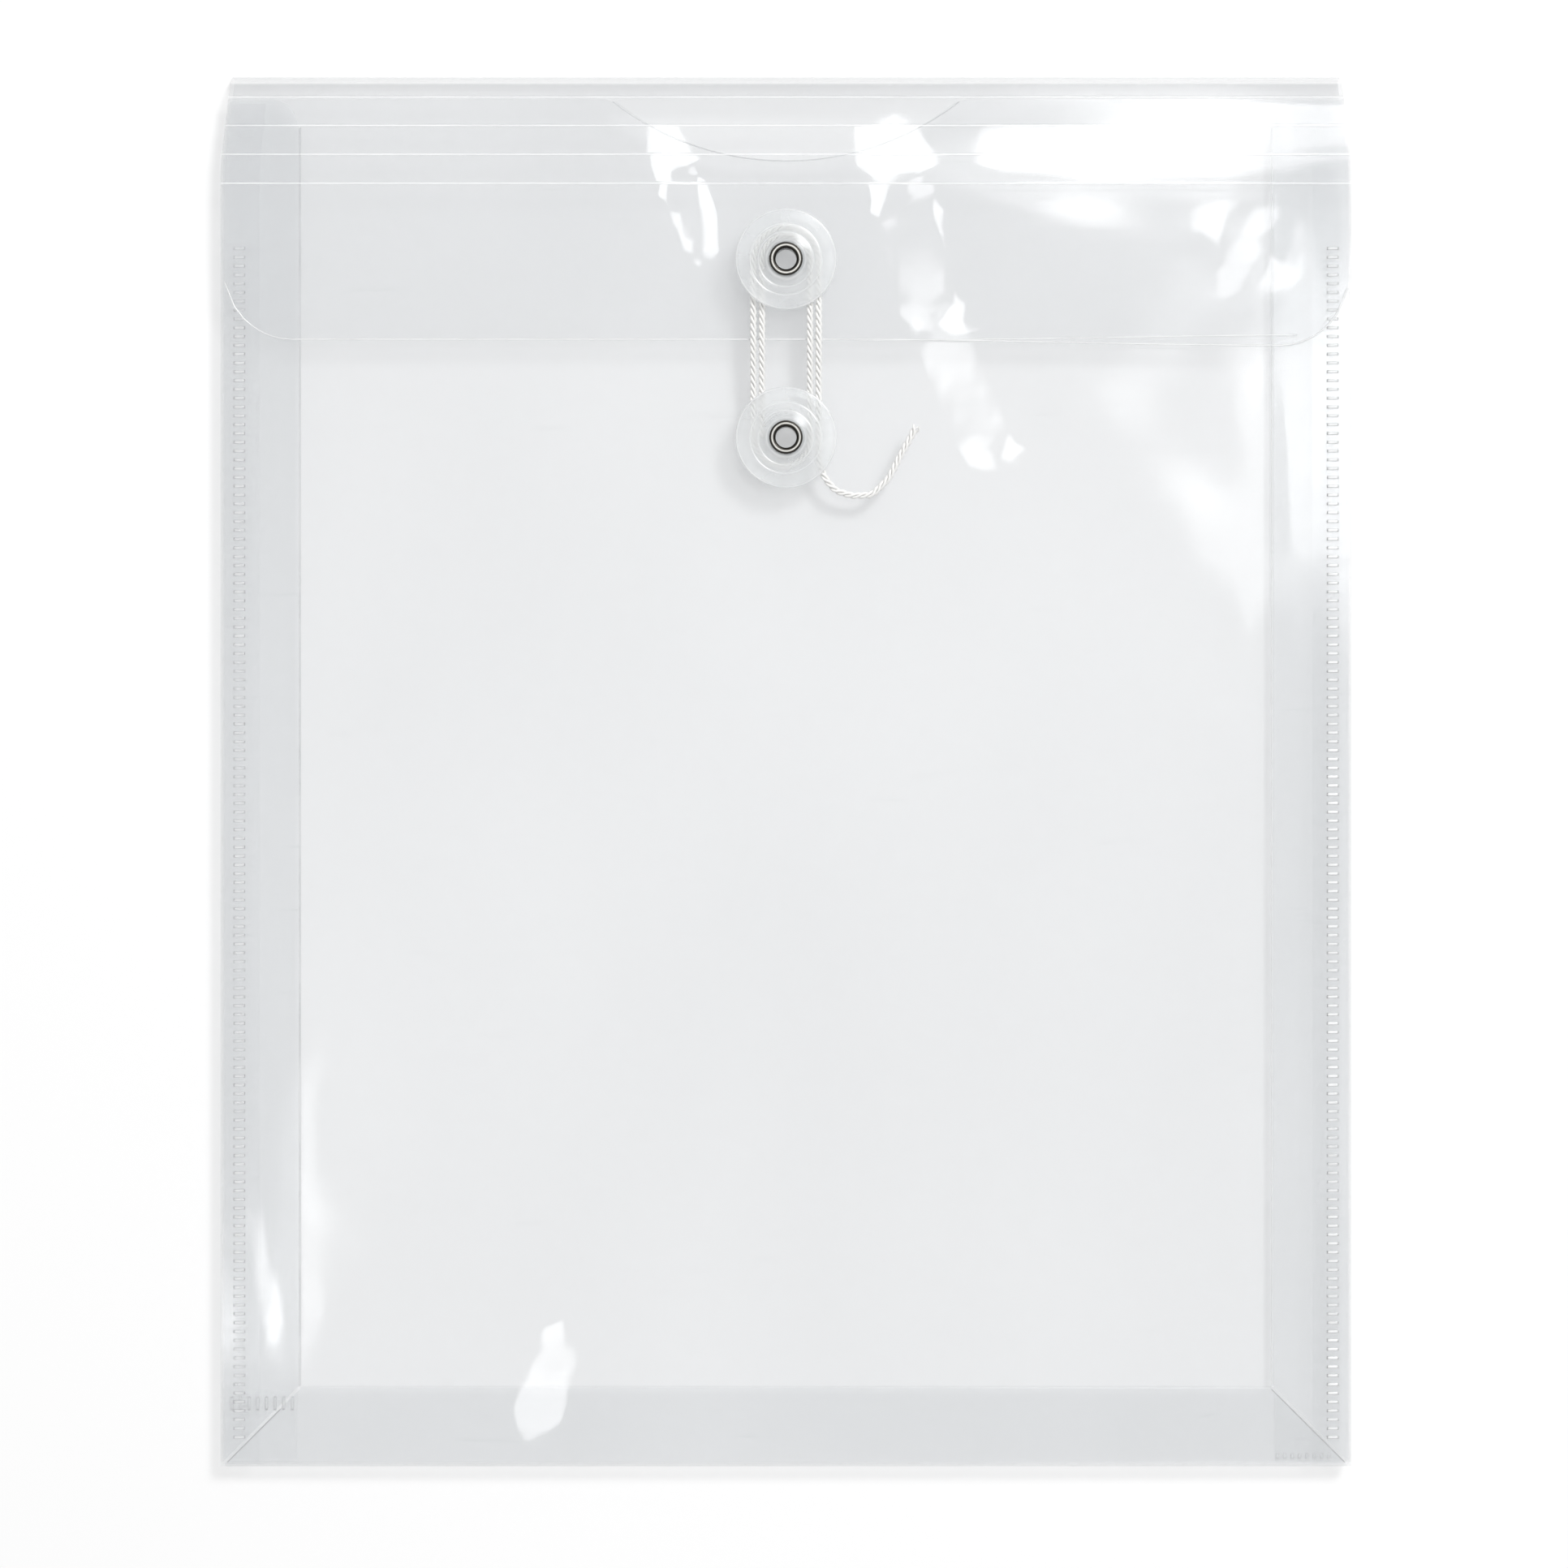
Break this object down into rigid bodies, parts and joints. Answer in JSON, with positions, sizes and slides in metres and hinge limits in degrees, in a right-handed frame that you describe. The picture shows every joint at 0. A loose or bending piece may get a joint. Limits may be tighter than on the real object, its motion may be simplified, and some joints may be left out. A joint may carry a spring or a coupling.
{
  "type": "string envelope",
  "caption": "Clear plastic document envelope with a creased flap, side and bottom gussets, and two disc buttons tied by a string.",
  "frame": {"origin": "under the centre of the back panel, on the surface that the closed envelope lies on", "axes": "+Y from the bottom gusset towards the fold of the flap, +Z out of the back panel towards the buttons"},
  "size_m": [0.2476, 0.3048, 0.0121],
  "materials": {
    "film": "clear smooth polypropylene film",
    "weld": "whitened weld marks in the film",
    "button": "milky translucent plastic",
    "eyelet": "nickel-plated",
    "string": "white twisted string"
  },
  "bodies": {
    "back": {"back_panel": "film", "left_corner_tab": "film", "right_corner_tab": "film"},
    "left_rear": {"left_gusset_rear": "film"},
    "left_front": {"left_gusset_front": "film"},
    "right_rear": {"right_gusset_rear": "film"},
    "right_front": {"right_gusset_front": "film"},
    "bottom_rear": {"bottom_gusset_rear": "film"},
    "bottom_front": {"bottom_gusset_front": "film"},
    "front": {"front_panel": "film", "left_weld_flange": "film", "right_weld_flange": "film", "left_weld_seam": "weld", "right_weld_seam": "weld", "lower_eyelet": "eyelet", "lower_backing_washer": "button", "string_winding": "string", "string_tail": "string"},
    "spine_1": {"spine_strip_1": "film"},
    "spine_2": {"spine_strip_2": "film"},
    "spine_3": {"spine_strip_3": "film"},
    "spine_4": {"spine_strip_4": "film"},
    "flap": {"flap": "film", "upper_eyelet": "eyelet", "upper_backing_washer": "button"},
    "upper_button": {"upper_disc": "button", "upper_spacer": "button"},
    "lower_button": {"lower_disc": "button", "lower_spacer": "button"}
  },
  "joints": [
    {"name": "flap_open", "type": "hinge", "parent": "back", "child": "spine_1", "pos_m": [0, 0.15256, 0.00015], "axis": [-1, 0, 0], "range_deg": [0, 128], "deforming": ["string_winding"]},
    {"name": "crease_1", "type": "hinge", "parent": "spine_1", "child": "spine_2", "pos_m": [0, 0.14763, 0.00645], "axis": [-1, 0, 0], "range_deg": [0, 44]},
    {"name": "crease_2", "type": "hinge", "parent": "spine_2", "child": "spine_3", "pos_m": [0, 0.14135, 0.00734], "axis": [-1, 0, 0], "range_deg": [0, 5]},
    {"name": "crease_3", "type": "hinge", "parent": "spine_3", "child": "spine_4", "pos_m": [0, 0.135, 0.00767], "axis": [-1, 0, 0], "range_deg": [0, 2]},
    {"name": "crease_4", "type": "hinge", "parent": "spine_4", "child": "flap", "pos_m": [0, 0.12865, 0.00778], "axis": [-1, 0, 0], "range_deg": [0, 1]},
    {"name": "left_gusset_rear_fold", "type": "hinge", "parent": "back", "child": "left_rear", "pos_m": [-0.12337, 0, 0.0006], "axis": [0, -1, 0], "range_deg": [0, 33]},
    {"name": "left_gusset_inner_fold", "type": "hinge", "parent": "left_rear", "child": "left_front", "pos_m": [-0.10712, 0, 0.00293], "axis": [0, -1, 0], "range_deg": [-66, 0]},
    {"name": "left_gusset_front_fold", "type": "hinge", "parent": "left_front", "child": "front", "pos_m": [-0.12337, 0, 0.00525], "axis": [0, -1, 0], "range_deg": [0, 33]},
    {"name": "right_gusset_rear_fold", "type": "hinge", "parent": "back", "child": "right_rear", "pos_m": [0.12337, 0, 0.0006], "axis": [0, 1, 0], "range_deg": [0, 33]},
    {"name": "right_gusset_inner_fold", "type": "hinge", "parent": "right_rear", "child": "right_front", "pos_m": [0.10712, 0, 0.00293], "axis": [0, 1, 0], "range_deg": [-66, 0]},
    {"name": "bottom_gusset_rear_fold", "type": "hinge", "parent": "back", "child": "bottom_rear", "pos_m": [0, -0.15195, 0.0006], "axis": [1, 0, 0], "range_deg": [0, 33]},
    {"name": "bottom_gusset_inner_fold", "type": "hinge", "parent": "bottom_rear", "child": "bottom_front", "pos_m": [0, -0.13569, 0.00293], "axis": [1, 0, 0], "range_deg": [-66, 0]},
    {"name": "upper_button_spin", "type": "hinge", "parent": "flap", "child": "upper_button", "pos_m": [0, 0.1118, 0.00778], "axis": [0, 0, 1], "continuous": true},
    {"name": "lower_button_spin", "type": "hinge", "parent": "front", "child": "lower_button", "pos_m": [0, 0.0729, 0.006], "axis": [0, 0, 1], "continuous": true}
  ],
  "couplings": [
    {"joint": "crease_1", "follows": "flap_open", "ratio": 0.34375},
    {"joint": "crease_2", "follows": "flap_open", "ratio": 0.039062},
    {"joint": "crease_3", "follows": "flap_open", "ratio": 0.015625},
    {"joint": "crease_4", "follows": "flap_open", "ratio": 0.0078125},
    {"joint": "left_gusset_rear_fold", "follows": "flap_open", "ratio": 0.25781},
    {"joint": "left_gusset_inner_fold", "follows": "flap_open", "ratio": -0.51562},
    {"joint": "left_gusset_front_fold", "follows": "flap_open", "ratio": 0.25781},
    {"joint": "right_gusset_rear_fold", "follows": "flap_open", "ratio": 0.25781},
    {"joint": "right_gusset_inner_fold", "follows": "flap_open", "ratio": -0.51562},
    {"joint": "bottom_gusset_rear_fold", "follows": "flap_open", "ratio": 0.25781},
    {"joint": "bottom_gusset_inner_fold", "follows": "flap_open", "ratio": -0.51562}
  ]
}
